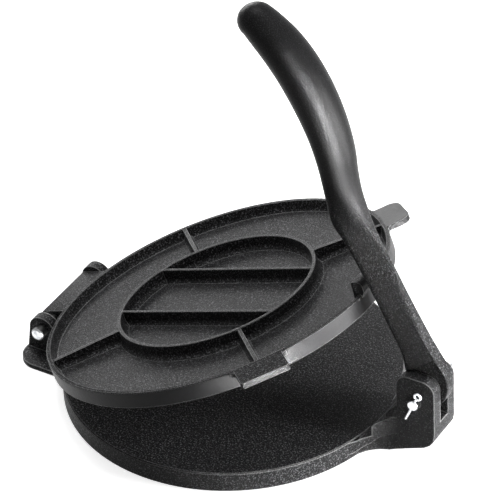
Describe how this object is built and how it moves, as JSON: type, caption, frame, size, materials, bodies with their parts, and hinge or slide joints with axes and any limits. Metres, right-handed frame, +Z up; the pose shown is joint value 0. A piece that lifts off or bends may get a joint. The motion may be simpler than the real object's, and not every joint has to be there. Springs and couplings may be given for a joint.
{
  "type": "tortilla press",
  "caption": "Cast-iron tortilla press: round base, hinged ribbed top plate with lifting tabs and press lug, curved lever handle in a forked bracket.",
  "frame": {"origin": "centre of the round base, on the surface it stands on", "axes": "+X from the plate hinge to the lever, +Y along both pins, +Z up"},
  "size_m": [0.3239, 0.254, 0.3213],
  "materials": {
    "cast_iron_base": "black seasoned casting, fine grain",
    "cast_iron_plate": "black seasoned casting, fine grain",
    "cast_iron_lever": "black seasoned casting, smoother on the grip",
    "pin_steel": "bright zinc-plated",
    "wire_steel": "bright zinc-plated wire"
  },
  "bodies": {
    "base": {"base": "cast_iron_base", "hinge_pin": "pin_steel", "hinge_split_pin": "wire_steel", "lever_pin": "pin_steel", "lever_split_pin_near": "wire_steel", "lever_split_pin_far": "wire_steel"},
    "plate": {"top_plate": "cast_iron_plate"},
    "lever": {"lever": "cast_iron_lever"}
  },
  "joints": [
    {"name": "plate_hinge", "type": "hinge", "parent": "base", "child": "plate", "pos_m": [-0.1361, 0, 0.022], "axis": [0, 1, 0], "range_deg": [-95, 19.9]},
    {"name": "lever_pivot", "type": "hinge", "parent": "base", "child": "lever", "pos_m": [0.1538, 0, 0.0486], "axis": [0, -1, 0], "range_deg": [-70, 3]}
  ]
}
